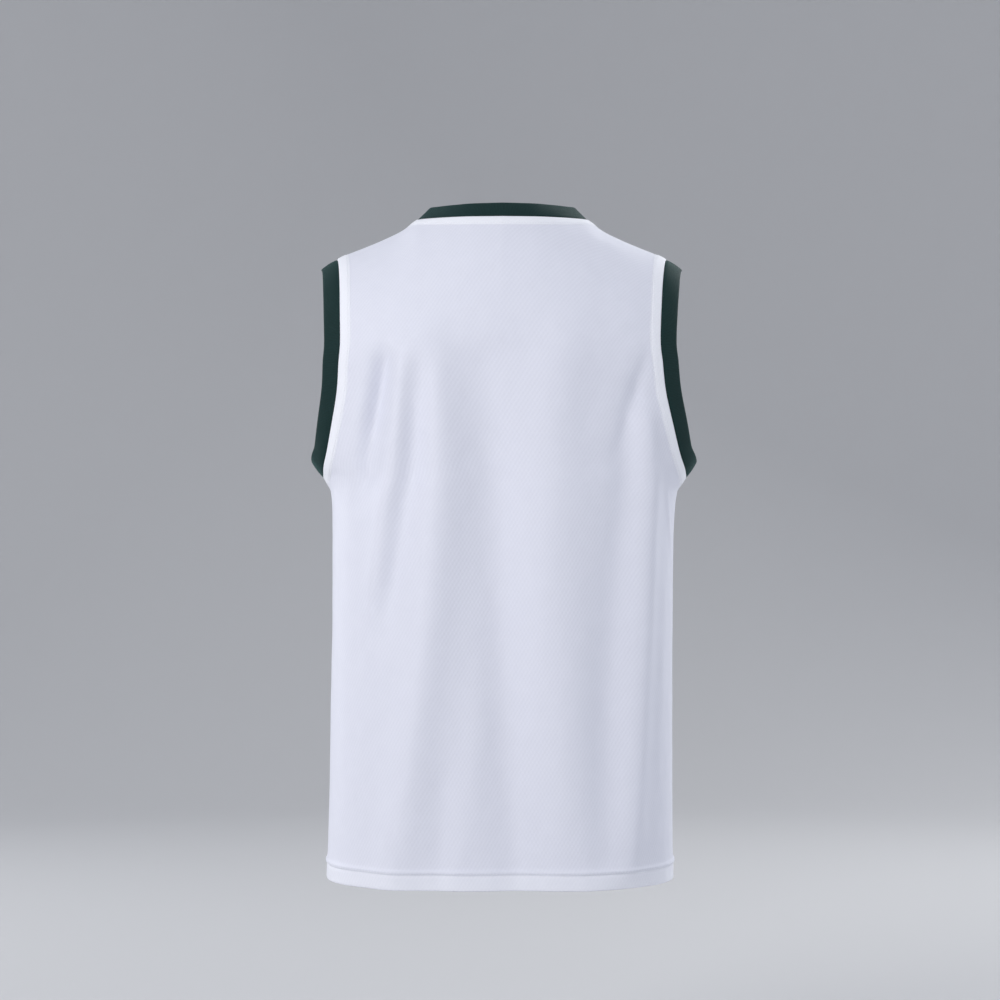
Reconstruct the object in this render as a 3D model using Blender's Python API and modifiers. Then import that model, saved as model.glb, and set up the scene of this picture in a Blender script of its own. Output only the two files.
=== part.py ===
"""A sleeveless basketball jersey in its worn form: hollow, and open at the neck, armholes and hem.

Two knitted panels meet at the shoulders and the side seams, and three ribbed bands bind the neck
and the armholes. Lengths are in metres and +Z is up. The front faces -Y and +X is the wearer's
left. The origin lies midway between the shoulders, level with the points where the neck seam
crosses them. The tables give the inner face of the cloth, and the walls grow outwards from it.
"""

from collections import namedtuple

import bpy
import numpy as np

BACK, FRONT = 1, -1

# Driving dimensions
BODY_LENGTH = 0.685  # from the neck point of the shoulder down to the hem
NECK_HALF_WIDTH = 0.088  # at the seam, where it crosses the shoulder
NAPE_DROP = 0.0019  # of the neck seam at the centre back
SCOOP_DROP = 0.088  # of the neck seam at the centre front
SCOOP_SQUARENESS = 2.1
SHOULDER_HALF_WIDTH = 0.1726  # at the armhole seam
UNDERARM_HEIGHT = -0.2695
HEM_DEPTH = 0.0155  # of the turned and stitched hem
PANEL_WALL = 0.0012
HEM_WALL = 0.002
BAND_WIDTH = 0.0195
BAND_WALL = 0.0022
BAND_CROWN = 0.0006  # how far the middle of a band stands out from a straight line
SEAM_GAP = 0.0003

# The neck band bends up from the slope of the cloth: its rise, as a share of its width, at the
# shoulders and at the centre back, and how far to the front and back of the shoulders it changes
RISE_AT_SHOULDERS = 0.36
RISE_AT_NAPE = 0.09
RISE_REACH = {BACK: 0.050, FRONT: 0.060}

# The upper body closes over the shoulders like a dome, from a level on each side of the body.
# The higher the closing power, the faster the cloth leaves the chest or back on its way up.
DOME_LEVEL = {BACK: -0.15, FRONT: -0.20}
DOME_RADIUS = {BACK: 0.17, FRONT: 0.20}
CLOSING_AT_CENTRE = {BACK: 1.2, FRONT: 2.4}
CLOSING_AT_SHOULDER = {BACK: 1.2, FRONT: 1.25}

# Grid of a half panel
NECK_COLUMNS = 10
SHOULDER_COLUMNS = 8
COLUMNS = NECK_COLUMNS + SHOULDER_COLUMNS
ARMHOLE_ROWS = 18
BODY_ROWS = 9
FLARE_HEIGHTS = (-0.300, -0.291, -0.284, -0.277)
FINE = 240  # samples of an edge before it is divided evenly
SETTLING_PASSES = 80
SETTLING_PACE = 0.7
MEAN_RADIUS = 0.18  # of the body, which turns an angle into a length
STEP = 0.0005  # for slopes of the cloth
BAND_RINGS = (0.0, 0.35, 0.7, 1.0)  # as shares of a band's width

# Level sections of the body from the hem up: the reach to the side, back and front, how square
# the corners are, and how far the middle has swung to the wearer's left
Section = namedtuple("Section", "height half_width back_depth front_depth corner sway")
SECTIONS = [
    Section(-0.685, 0.1798, 0.1190, 0.1170, 2.60, 0.0026),
    Section(-0.588, 0.1780, 0.1180, 0.1165, 2.70, 0.0016),
    Section(-0.504, 0.1773, 0.1172, 0.1162, 2.75, 0.0010),
    Section(-0.420, 0.1766, 0.1165, 0.1162, 2.80, 0.0000),
    Section(-0.336, 0.1770, 0.1162, 0.1166, 2.80, -0.0005),
    Section(-0.300, 0.1780, 0.1162, 0.1170, 2.78, -0.0012),
    Section(-0.284, 0.1800, 0.1163, 0.1172, 2.72, -0.0016),
    Section(-0.2695, 0.1878, 0.1163, 0.1173, 2.51, -0.0024),
    Section(-0.252, 0.2000, 0.1163, 0.1174, 2.31, -0.0010),
    Section(-0.211, 0.2085, 0.1163, 0.1174, 2.25, 0.0003),
    Section(-0.170, 0.2125, 0.1163, 0.1170, 2.20, 0.0015),
    Section(-0.130, 0.2145, 0.1163, 0.1170, 2.20, 0.0022),
    Section(-0.040, 0.2145, 0.1163, 0.1170, 2.20, 0.0008),
    Section(0.030, 0.2145, 0.1163, 0.1170, 2.20, -0.0005),
]

# The ridge of the shoulders, and its rise inside the neck
Ridge = namedtuple("Ridge", "half_width height")
RIDGE = [
    Ridge(0.000, 0.0350),
    Ridge(0.030, 0.0290),
    Ridge(0.050, 0.0200),
    Ridge(0.071, 0.0088),
    Ridge(0.088, 0.0000),
    Ridge(0.0945, -0.0045),
    Ridge(0.1055, -0.0122),
    Ridge(0.1234, -0.0210),
    Ridge(0.1433, -0.0294),
    Ridge(0.1664, -0.0388),
    Ridge(0.1740, -0.0434),
    Ridge(0.1900, -0.0534),
]

# The armhole seam from the underarm up, as degrees round the body from the centre line
Armhole = namedtuple("Armhole", "height back_turn front_turn")
ARMHOLE = [
    Armhole(-0.2695, 90.0, 90.0),
    Armhole(-0.2655, 75.0, 74.5),
    Armhole(-0.2520, 62.5, 61.5),
    Armhole(-0.2110, 53.4, 51.5),
    Armhole(-0.1700, 49.4, 47.0),
    Armhole(-0.1300, 47.7, 45.7),
    Armhole(-0.0875, 48.4, 46.8),
]

# Folds of the hanging cloth, each a bent line from its head through its middle to its foot,
# given as (across, height). "across" is measured round the body from the centre line, + to the
# wearer's left. A ridge has a positive depth and a trough a negative one.
Fold = namedtuple("Fold", "side head middle foot breadth depth")
FOLDS = [
    Fold(BACK, (0.114, -0.130), (0.133, -0.212), (0.153, -0.312), 0.014, -0.0056),
    Fold(BACK, (0.101, -0.120), (0.109, -0.250), (0.132, -0.430), 0.014, 0.0058),
    Fold(BACK, (0.072, -0.110), (0.092, -0.260), (0.124, -0.460), 0.014, -0.0052),
    Fold(BACK, (0.094, -0.105), (0.065, -0.290), (0.106, -0.680), 0.022, 0.0108),
    Fold(BACK, (0.008, -0.120), (0.012, -0.290), (-0.018, -0.690), 0.024, -0.0064),
    Fold(BACK, (0.020, -0.475), (0.026, -0.560), (0.046, -0.690), 0.014, 0.0012),
    Fold(BACK, (0.056, -0.550), (0.059, -0.620), (0.061, -0.690), 0.010, -0.0011),
    Fold(BACK, (-0.088, -0.070), (-0.052, -0.330), (-0.090, -0.690), 0.031, 0.0088),
    Fold(BACK, (-0.176, -0.170), (-0.120, -0.290), (-0.099, -0.650), 0.020, -0.0054),
    Fold(BACK, (-0.154, -0.180), (-0.149, -0.340), (-0.132, -0.660), 0.018, 0.0068),
    Fold(FRONT, (0.120, -0.110), (0.100, -0.310), (0.088, -0.690), 0.022, 0.0064),
    Fold(FRONT, (0.084, -0.160), (0.060, -0.390), (0.046, -0.690), 0.020, -0.0056),
    Fold(FRONT, (0.040, -0.170), (0.026, -0.360), (0.004, -0.690), 0.024, 0.0056),
    Fold(FRONT, (-0.006, -0.200), (-0.012, -0.420), (-0.036, -0.690), 0.022, -0.0054),
    Fold(FRONT, (-0.062, -0.130), (-0.056, -0.380), (-0.074, -0.690), 0.026, 0.0064),
    Fold(FRONT, (-0.140, -0.130), (-0.106, -0.310), (-0.112, -0.690), 0.018, -0.0050),
    Fold(FRONT, (-0.158, -0.220), (-0.146, -0.390), (-0.140, -0.690), 0.015, 0.0034),
]
FOLD_PIECES = 10  # straight pieces that stand for a fold's bent line
FOLD_END = 0.16  # share of a fold's length over which each end dies away
FOLD_RUN_OUT = 1.1  # folds whose foot lies this low still show at the hem, so they die away later
FOLD_AT_HEM = -0.64
FOLD_FADE_AT_SIDES = 0.036  # the folds die away over this distance from a side edge
FOLD_FADE_AT_TOP = 0.030


def smooth(knots, values):
    """A function of arrays that passes through the values at the knots without overshooting."""
    knots = np.array(knots, float)
    values = np.array(values, float)
    run = np.diff(knots)
    secant = np.diff(values) / run
    inner = np.zeros(len(knots) - 2)
    same = secant[:-1] * secant[1:] > 0
    inner[same] = 2 / (1 / secant[:-1][same] + 1 / secant[1:][same])
    slope = np.concatenate([secant[:1], inner, secant[-1:]])

    def at(place):
        place = np.clip(place, knots[0], knots[-1])
        i = np.clip(np.searchsorted(knots, place, side="right") - 1, 0, len(run) - 1)
        t = (place - knots[i]) / run[i]
        start = values[i] * (1 + 2 * t) + slope[i] * run[i] * t
        end = values[i + 1] * (3 - 2 * t) - slope[i + 1] * run[i] * (1 - t)
        return start * (1 - t) ** 2 + end * t**2

    return at


def smoothstep(share):
    share = np.clip(share, 0, 1)
    return share * share * (3 - 2 * share)


def unit(vectors):
    return vectors / np.linalg.norm(vectors, axis=-1, keepdims=True)


def column(rows, name):
    return [getattr(row, name) for row in rows]


def section_curve(name):
    return smooth(column(SECTIONS, "height"), column(SECTIONS, name))


half_width_at = section_curve("half_width")
corner_at = section_curve("corner")
sway_at = section_curve("sway")
depth_at = {BACK: section_curve("back_depth"), FRONT: section_curve("front_depth")}
ridge_at = smooth(column(RIDGE, "half_width"), column(RIDGE, "height"))


def reach_at(turn, corner):
    """How far a section with these corners reaches at this turn, where a unit circle reaches 1."""
    return (np.abs(np.sin(turn)) ** corner + np.abs(np.cos(turn)) ** corner) ** (-1 / corner)


def body(side, turn, rise):
    """Points of the smooth worn form.

    turn is the angle round the body from the centre line of this side, in radians. rise is the
    way up the cloth from this side's dome level: straight up below it, and over the dome above.
    """
    level = DOME_LEVEL[side]
    height = level + np.minimum(rise, 0)
    lean = np.clip(rise / DOME_RADIUS[side], 0, np.pi / 2)
    reach = reach_at(turn, corner_at(height))
    x = half_width_at(height) * reach * np.sin(turn)
    outer = smoothstep(np.abs(x) / NECK_HALF_WIDTH)
    closing = CLOSING_AT_CENTRE[side] * (1 - outer) + CLOSING_AT_SHOULDER[side] * outer
    y = side * depth_at[side](height) * reach * np.cos(turn) * np.cos(lean) ** closing
    z = height + (ridge_at(np.abs(x)) - level) * np.sin(lean)
    return np.stack([x + sway_at(z), y, z], axis=-1)


def outward_at(side, turn, rise):
    """Unit vectors square to the cloth, pointing away from the body."""
    round_the_body = body(side, turn + STEP, rise) - body(side, turn - STEP, rise)
    upwards = body(side, turn, rise + STEP) - body(side, turn, rise - STEP)
    return unit(-side * np.cross(round_the_body, upwards))


def turn_at(side, half_width):
    """The turn at which the dome of this side has this half width."""
    level = DOME_LEVEL[side]
    corner = corner_at(level)
    share = np.clip(half_width / half_width_at(level), 1e-6, 1)
    return np.arctan((share**-corner - 1) ** (-1 / corner))


def rise_at(side, turn, height):
    """The rise at which this side has this height."""
    level = DOME_LEVEL[side]
    ridge = ridge_at(half_width_at(level) * reach_at(turn, corner_at(level)) * np.sin(turn))
    lean = np.arcsin(np.clip((height - level) / (ridge - level), 0, 1))
    return np.where(height < level, height - level, lean * DOME_RADIUS[side])


def length_along(points):
    steps = np.linalg.norm(np.diff(points, axis=0), axis=1)
    return np.concatenate([[0], np.cumsum(steps)])


def divide_evenly(side, line, count):
    """A line of (turn, rise) rows, divided into count stretches of equal length on the body."""
    length = length_along(body(side, line[:, 0], line[:, 1]))
    stops = np.linspace(0, length[-1], count + 1)
    return np.stack([np.interp(stops, length, line[:, i]) for i in (0, 1)], axis=1)


def neck_line(side):
    """The neck seam from the centre line out to the shoulder."""
    share = np.sin(np.linspace(0, np.pi / 2, FINE))
    if side == BACK:
        height = -NAPE_DROP * (1 - share**2)
    else:
        height = -SCOOP_DROP * (1 - share**SCOOP_SQUARENESS) ** (1 / SCOOP_SQUARENESS)
    turn = turn_at(side, share * NECK_HALF_WIDTH)
    return np.stack([turn, rise_at(side, turn, height)], axis=1)


def shoulder_line(side):
    """The shoulder seam from the neck out to the armhole."""
    half_width = np.linspace(NECK_HALF_WIDTH, SHOULDER_HALF_WIDTH, FINE)
    top = np.full(FINE, DOME_RADIUS[side] * np.pi / 2)
    return np.stack([turn_at(side, half_width), top], axis=1)


def armhole_line(side):
    """The armhole seam from the underarm up to the shoulder."""
    turns = np.radians(column(ARMHOLE, "back_turn" if side == BACK else "front_turn"))
    turns = np.append(turns, turn_at(side, SHOULDER_HALF_WIDTH))
    heights = np.append(column(ARMHOLE, "height"), ridge_at(SHOULDER_HALF_WIDTH))
    rises = rise_at(side, turns, heights)
    length = length_along(body(side, turns, rises))
    fine = np.linspace(0, length[-1], FINE)
    return np.stack([smooth(length, turns)(fine), smooth(length, rises)(fine)], axis=1)


def level_row(side, height):
    """A level row of the grid from the centre line to the side seam."""
    turn = np.linspace(0, np.pi / 2, COLUMNS + 1)
    return np.stack([turn, np.full(COLUMNS + 1, height - DOME_LEVEL[side])], axis=1)


def settled(grid):
    """A grid of (turn, rise) evened out inside its edges, so that none of its lines cross."""
    grid = grid * [MEAN_RADIUS, 1]
    for _ in range(SETTLING_PASSES):
        inner = grid[1:-1, 1:-1]
        left, right = grid[1:-1, :-2], grid[1:-1, 2:]
        below, above = grid[:-2, 1:-1], grid[2:, 1:-1]
        along, up = (right - left) / 2, (above - below) / 2
        diagonal = (grid[2:, 2:] - grid[2:, :-2] - grid[:-2, 2:] + grid[:-2, :-2]) / 4
        a = np.sum(up * up, axis=-1, keepdims=True)
        b = np.sum(along * up, axis=-1, keepdims=True)
        c = np.sum(along * along, axis=-1, keepdims=True)
        even = (a * (left + right) + c * (below + above) - 2 * b * diagonal) / (2 * (a + c))
        grid[1:-1, 1:-1] = inner + SETTLING_PACE * (even - inner)
    return grid / [MEAN_RADIUS, 1]


def lower_half_panel(side):
    """Level rows from the hem to just below the underarm."""
    hem_top = HEM_DEPTH - BODY_LENGTH
    body_heights = np.linspace(hem_top, FLARE_HEIGHTS[0], BODY_ROWS + 1)[1:-1]
    heights = [-BODY_LENGTH, hem_top, hem_top + PANEL_WALL, *body_heights, *FLARE_HEIGHTS]
    return np.array([level_row(side, height) for height in heights])


def upper_half_panel(side):
    """Rows from the underarm to the neck and shoulder, spread between the panel's four edges."""
    neck = divide_evenly(side, neck_line(side), NECK_COLUMNS)
    shoulder = divide_evenly(side, shoulder_line(side), SHOULDER_COLUMNS)
    top = np.concatenate([neck, shoulder[1:]])
    bottom = level_row(side, UNDERARM_HEIGHT)
    centre = np.stack([np.zeros(FINE), np.linspace(bottom[0, 1], top[0, 1], FINE)], axis=1)
    left = divide_evenly(side, centre, ARMHOLE_ROWS)
    right = divide_evenly(side, armhole_line(side), ARMHOLE_ROWS)
    u = np.linspace(0, 1, COLUMNS + 1)[None, :, None]
    v = np.linspace(0, 1, ARMHOLE_ROWS + 1)[:, None, None]
    between_rows = (1 - v) * bottom + v * top
    between_sides = (1 - u) * left[:, None] + u * right[:, None]
    corners = (1 - v) * ((1 - u) * bottom[0] + u * bottom[-1]) + v * ((1 - u) * top[0] + u * top[-1])
    return settled(between_rows + between_sides - corners)


def bent_line(fold):
    """Points along a fold, on the smooth curve through its head, middle and foot."""
    t = np.linspace(0, 1, FOLD_PIECES + 1)[:, None]
    head, middle, foot = (np.array(p) for p in (fold.head, fold.middle, fold.foot))
    pull = 2 * middle - (head + foot) / 2
    return (1 - t) ** 2 * head + 2 * t * (1 - t) * pull + t**2 * foot


def fold_relief(side, turn, rise):
    """How far the folds move the cloth outwards."""
    height = body(side, turn, rise)[..., 2]
    across = turn * half_width_at(np.minimum(height, DOME_LEVEL[side]))
    place = np.stack([across, height], axis=-1)
    relief = np.zeros(turn.shape)
    for fold in FOLDS:
        if fold.side != side:
            continue
        line = bent_line(fold)
        nearest = np.full(turn.shape, np.inf)
        along = np.zeros(turn.shape)
        for i, (start, end) in enumerate(zip(line[:-1], line[1:])):
            way = end - start
            t = np.clip(((place - start) @ way) / (way @ way), 0, 1)
            distance = np.linalg.norm(place - start - t[..., None] * way, axis=-1)
            closer = distance < nearest
            nearest = np.where(closer, distance, nearest)
            along = np.where(closer, (i + t) / FOLD_PIECES, along)
        run_out = FOLD_RUN_OUT if fold.foot[1] < FOLD_AT_HEM else 1
        ends = smoothstep(along / FOLD_END) * smoothstep((run_out - along) / FOLD_END)
        relief += fold.depth * ends * np.exp(-((nearest / fold.breadth) ** 2))
    return relief


def ways_to_edges(points):
    """How far each point is from the nearer end of its row, and from the top of its column."""
    across = np.linalg.norm(np.diff(points, axis=1), axis=-1)
    from_end = np.pad(np.cumsum(across, axis=1), ((0, 0), (1, 0)))
    up = np.linalg.norm(np.diff(points, axis=0), axis=-1)
    from_hem = np.pad(np.cumsum(up, axis=0), ((1, 0), (0, 0)))
    return np.minimum(from_end, from_end[:, -1:] - from_end), from_hem[-1:] - from_hem


def panel_points(side):
    """Points and outward vectors of a whole panel: rows from the hem up, columns towards +X."""
    half = np.concatenate([lower_half_panel(side), upper_half_panel(side)])
    mirrored = half[:, :0:-1] * np.array([-1, 1])
    grid = np.concatenate([mirrored, half], axis=1)
    turn, rise = grid[..., 0], grid[..., 1]
    points = body(side, turn, rise)
    to_side, to_top = ways_to_edges(points)
    fade = smoothstep(to_side / FOLD_FADE_AT_SIDES) * smoothstep(to_top / FOLD_FADE_AT_TOP)
    outward = outward_at(side, turn, rise)
    points = points + (fold_relief(side, turn, rise) * fade)[..., None] * outward
    points[..., 1] += side * SEAM_GAP / 2
    return points, outward


def add_cloth(name, points, faces, wall, material, home):
    """An object whose wall grows outwards from these points."""
    mesh = bpy.data.meshes.new(name)
    mesh.from_pydata(points.tolist(), [], faces)
    mesh.materials.append(material)
    mesh.shade_smooth()
    obj = bpy.data.objects.new(name, mesh)
    home.objects.link(obj)
    thicken = obj.modifiers.new("cloth thickness", "SOLIDIFY")
    thicken.thickness = wall
    thicken.offset = 1
    thicken.use_even_offset = True
    return obj


def add_panel(name, side, points, material, home):
    """A panel with its hem turned up, which makes the wall thicker there."""
    rows, columns = points.shape[:2]
    faces = []
    for j in range(rows - 1):
        for i in range(columns - 1):
            a, b = j * columns + i, (j + 1) * columns + i
            face = (a, a + 1, b + 1, b)
            faces.append(face[::-1] if side == BACK else face)
    obj = add_cloth(name, points.reshape(-1, 3), faces, HEM_WALL, material, home)
    hem = obj.vertex_groups.new(name="hem")
    hem.add(range(2 * columns), 1.0, "REPLACE")
    thicken = obj.modifiers["cloth thickness"]
    thicken.vertex_group = hem.name
    thicken.thickness_vertex_group = PANEL_WALL / HEM_WALL


def joined_edge(back, front):
    """One closed seam from the edges of the two panels, whose ends meet in pairs."""
    (back_points, back_out), (front_points, front_out) = back, front
    points = np.concatenate([back_points, front_points[::-1][1:-1]])
    outward = np.concatenate([back_out, front_out[::-1][1:-1]])
    for here, there in ((0, 0), (len(back_points) - 1, -1)):
        points[here] = (back_points[here] + front_points[there]) / 2
        outward[here] = back_out[here] + front_out[there]
    return points, unit(outward)


def neck_rise(seam):
    """How far the neck band bends up at the seam's points, as a share of its width."""
    depth = seam[:, 1]
    behind = smoothstep(depth / RISE_REACH[BACK])
    ahead = smoothstep(-depth / RISE_REACH[FRONT])
    rise = RISE_AT_SHOULDERS * (1 - behind) + RISE_AT_NAPE * behind
    return rise * (1 - ahead)


def no_rise(seam):
    return np.zeros(len(seam))


def add_band(name, edges, towards, rise, material, home):
    """A ribbed band sewn round an opening, from the panels' edges there.

    towards gives, for the seam's points, vectors that roughly say which way the band lies, and
    rise how far it bends up there.
    """
    seam, outward = joined_edge(*edges)
    forward = np.roll(seam, -1, axis=0) - np.roll(seam, 1, axis=0)
    across = unit(np.cross(forward, outward))
    flipped = np.sum(across * towards(seam)) < 0
    if flipped:
        across = -across
    bend = 2 * rise(seam)[:, None] * np.array([0, 0, 1])
    count = len(seam)
    place = seam + SEAM_GAP * across
    rings = [place]
    for start, end in zip(BAND_RINGS, BAND_RINGS[1:]):
        way = unit(across + (start + end) / 2 * bend)
        place = place + (BAND_WIDTH - SEAM_GAP) * (end - start) * way
        rings.append(place + BAND_CROWN * np.sin(np.pi * end) * outward)
    faces = []
    for j in range(len(BAND_RINGS) - 1):
        for i in range(count):
            k = (i + 1) % count
            face = (j * count + i, j * count + k, (j + 1) * count + k, (j + 1) * count + i)
            faces.append(face if flipped else face[::-1])
    add_cloth(name, np.concatenate(rings), faces, BAND_WALL, material, home)


def fabric(name, colour, roughness):
    material = bpy.data.materials.new(name)
    material.use_nodes = True
    shader = material.node_tree.nodes["Principled BSDF"]
    shader.inputs["Base Color"].default_value = (*colour, 1)
    shader.inputs["Roughness"].default_value = roughness
    shader.inputs["Metallic"].default_value = 0
    return material


def main():
    for obj in list(bpy.data.objects):
        bpy.data.objects.remove(obj)
    home = bpy.data.collections.new("basketball_jersey")
    bpy.context.scene.collection.children.link(home)
    white = fabric("white knit", (0.78, 0.79, 0.83), 0.75)
    green = fabric("dark green rib", (0.013, 0.045, 0.042), 0.7)

    back = panel_points(BACK)
    front = panel_points(FRONT)
    add_panel("back_panel", BACK, back[0], white, home)
    add_panel("front_panel", FRONT, front[0], white, home)

    neck = slice(SHOULDER_COLUMNS, SHOULDER_COLUMNS + 2 * NECK_COLUMNS + 1)
    neck_edges = [(points[-1, neck], outward[-1, neck]) for points, outward in (back, front)]
    add_band("neck_band", neck_edges, lambda seam: seam * [-1, -1, 0], neck_rise, green, home)

    armhole = slice(-ARMHOLE_ROWS - 1, None)
    for name, edge in (("armhole_band_left", -1), ("armhole_band_right", 0)):
        edges = [(points[armhole, edge], outward[armhole, edge]) for points, outward in (back, front)]
        add_band(name, edges, lambda seam: seam * [1, 0, 0], no_rise, green, home)


main()
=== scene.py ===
"""The looks of a sleeveless basketball jersey in its worn form: white knitted panels, dark green
rib bands, the turned hem and the topstitching.

Lengths are in metres and +Z is up. The front faces -Y and +X is the wearer's left. The origin
lies midway between the shoulders, level with the points where the neck seam crosses them.
"""

import math
from collections import namedtuple

import bpy
import numpy as np
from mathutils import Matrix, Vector


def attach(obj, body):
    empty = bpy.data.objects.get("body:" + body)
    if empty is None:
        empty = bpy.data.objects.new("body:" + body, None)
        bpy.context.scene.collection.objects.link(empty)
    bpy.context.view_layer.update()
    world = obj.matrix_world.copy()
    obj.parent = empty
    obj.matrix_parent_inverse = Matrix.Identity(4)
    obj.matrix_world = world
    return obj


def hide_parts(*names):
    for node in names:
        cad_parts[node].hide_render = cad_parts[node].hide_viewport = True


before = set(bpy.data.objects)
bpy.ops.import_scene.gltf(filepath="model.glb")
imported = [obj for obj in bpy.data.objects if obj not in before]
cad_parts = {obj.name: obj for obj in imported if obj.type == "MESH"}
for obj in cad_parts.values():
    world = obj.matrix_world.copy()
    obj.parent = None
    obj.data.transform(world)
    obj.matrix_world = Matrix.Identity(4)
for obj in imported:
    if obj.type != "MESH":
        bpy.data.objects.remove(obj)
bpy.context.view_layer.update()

BACK, FRONT = 1, -1

# ---------------------------------------------------------------- sizes of the jersey

BODY_LENGTH = 0.685  # from the neck point of the shoulder down to the hem
NECK_HALF_WIDTH = 0.088  # at the seam, where it crosses the shoulder
NAPE_DROP = 0.0019  # of the neck seam at the centre back
SCOOP_DROP = 0.088  # of the neck seam at the centre front
SCOOP_SQUARENESS = 2.1
SHOULDER_HALF_WIDTH = 0.1726  # at the armhole seam
UNDERARM_HEIGHT = -0.2695
BAND_WIDTH = 0.0195
MEAN_RADIUS = 0.18  # of the body, which turns an angle into a length
WAIST_HEIGHT = -0.42  # where the cloth is neither spread nor drawn in
SLOPE_STEP = 0.0005  # of turn or rise, over which a slope of the cloth is measured
WALK_STEP = 0.001  # of a walk over the cloth
TINY = 1e-6  # keeps a share above nothing, so that it can be divided by

# The neck band bends up from the slope of the cloth: its rise, as a share of its width, at the
# shoulders and at the centre back, and how far to the front and back of the shoulders it changes
RISE_AT_SHOULDERS = 0.36
RISE_AT_NAPE = 0.09
RISE_REACH = {BACK: 0.050, FRONT: 0.060}
BAND_STEPS = 13  # in which the bend is made

# The upper body closes over the shoulders like a dome, from a level on each side of the body
DOME_LEVEL = {BACK: -0.15, FRONT: -0.20}
DOME_RADIUS = {BACK: 0.17, FRONT: 0.20}
CLOSING_AT_CENTRE = {BACK: 1.2, FRONT: 2.4}
CLOSING_AT_SHOULDER = {BACK: 1.2, FRONT: 1.25}

# Level sections of the body from the hem up: the reach to the side, back and front, how square
# the corners are, and how far the middle has swung to the wearer's left
Section = namedtuple("Section", "height half_width back_depth front_depth corner sway")
SECTIONS = [
    Section(-0.685, 0.1798, 0.1190, 0.1170, 2.60, 0.0026),
    Section(-0.588, 0.1780, 0.1180, 0.1165, 2.70, 0.0016),
    Section(-0.504, 0.1773, 0.1172, 0.1162, 2.75, 0.0010),
    Section(-0.420, 0.1766, 0.1165, 0.1162, 2.80, 0.0000),
    Section(-0.336, 0.1770, 0.1162, 0.1166, 2.80, -0.0005),
    Section(-0.300, 0.1780, 0.1162, 0.1170, 2.78, -0.0012),
    Section(-0.284, 0.1800, 0.1163, 0.1172, 2.72, -0.0016),
    Section(-0.2695, 0.1878, 0.1163, 0.1173, 2.51, -0.0024),
    Section(-0.252, 0.2000, 0.1163, 0.1174, 2.31, -0.0010),
    Section(-0.211, 0.2085, 0.1163, 0.1174, 2.25, 0.0003),
    Section(-0.170, 0.2125, 0.1163, 0.1170, 2.20, 0.0015),
    Section(-0.130, 0.2145, 0.1163, 0.1170, 2.20, 0.0022),
    Section(-0.040, 0.2145, 0.1163, 0.1170, 2.20, 0.0008),
    Section(0.030, 0.2145, 0.1163, 0.1170, 2.20, -0.0005),
]

# The ridge of the shoulders, and its rise inside the neck
Ridge = namedtuple("Ridge", "half_width height")
RIDGE = [
    Ridge(0.000, 0.0350),
    Ridge(0.030, 0.0290),
    Ridge(0.050, 0.0200),
    Ridge(0.071, 0.0088),
    Ridge(0.088, 0.0000),
    Ridge(0.0945, -0.0045),
    Ridge(0.1055, -0.0122),
    Ridge(0.1234, -0.0210),
    Ridge(0.1433, -0.0294),
    Ridge(0.1664, -0.0388),
    Ridge(0.1740, -0.0434),
    Ridge(0.1900, -0.0534),
]

# The armhole seam from the underarm up, as degrees round the body from the centre line
Armhole = namedtuple("Armhole", "height back_turn front_turn")
ARMHOLE = [
    Armhole(-0.2695, 90.0, 90.0),
    Armhole(-0.2655, 75.0, 74.5),
    Armhole(-0.2520, 62.5, 61.5),
    Armhole(-0.2110, 53.4, 51.5),
    Armhole(-0.1700, 49.4, 47.0),
    Armhole(-0.1300, 47.7, 45.7),
    Armhole(-0.0875, 48.4, 46.8),
]

# Folds of the hanging cloth, each a bent line from its head through its middle to its foot,
# given as (across, height). "across" is measured round the body from the centre line, + to the
# wearer's left. A ridge has a positive depth and a trough a negative one.
Fold = namedtuple("Fold", "side head middle foot breadth depth")
FOLDS = [
    Fold(BACK, (0.114, -0.130), (0.133, -0.212), (0.153, -0.312), 0.014, -0.0056),
    Fold(BACK, (0.101, -0.120), (0.109, -0.250), (0.132, -0.430), 0.014, 0.0058),
    Fold(BACK, (0.072, -0.110), (0.092, -0.260), (0.124, -0.460), 0.014, -0.0052),
    Fold(BACK, (0.094, -0.105), (0.065, -0.290), (0.106, -0.680), 0.022, 0.0108),
    Fold(BACK, (0.008, -0.120), (0.012, -0.290), (-0.018, -0.690), 0.024, -0.0064),
    Fold(BACK, (0.020, -0.475), (0.026, -0.560), (0.046, -0.690), 0.014, 0.0012),
    Fold(BACK, (0.056, -0.550), (0.059, -0.620), (0.061, -0.690), 0.010, -0.0011),
    Fold(BACK, (-0.088, -0.070), (-0.052, -0.330), (-0.090, -0.690), 0.031, 0.0088),
    Fold(BACK, (-0.176, -0.170), (-0.120, -0.290), (-0.099, -0.650), 0.020, -0.0054),
    Fold(BACK, (-0.154, -0.180), (-0.149, -0.340), (-0.132, -0.660), 0.018, 0.0068),
    Fold(FRONT, (0.120, -0.110), (0.100, -0.310), (0.088, -0.690), 0.022, 0.0064),
    Fold(FRONT, (0.084, -0.160), (0.060, -0.390), (0.046, -0.690), 0.020, -0.0056),
    Fold(FRONT, (0.040, -0.170), (0.026, -0.360), (0.004, -0.690), 0.024, 0.0056),
    Fold(FRONT, (-0.006, -0.200), (-0.012, -0.420), (-0.036, -0.690), 0.022, -0.0054),
    Fold(FRONT, (-0.062, -0.130), (-0.056, -0.380), (-0.074, -0.690), 0.026, 0.0064),
    Fold(FRONT, (-0.140, -0.130), (-0.106, -0.310), (-0.112, -0.690), 0.018, -0.0050),
    Fold(FRONT, (-0.158, -0.220), (-0.146, -0.390), (-0.140, -0.690), 0.015, 0.0034),
]

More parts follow.
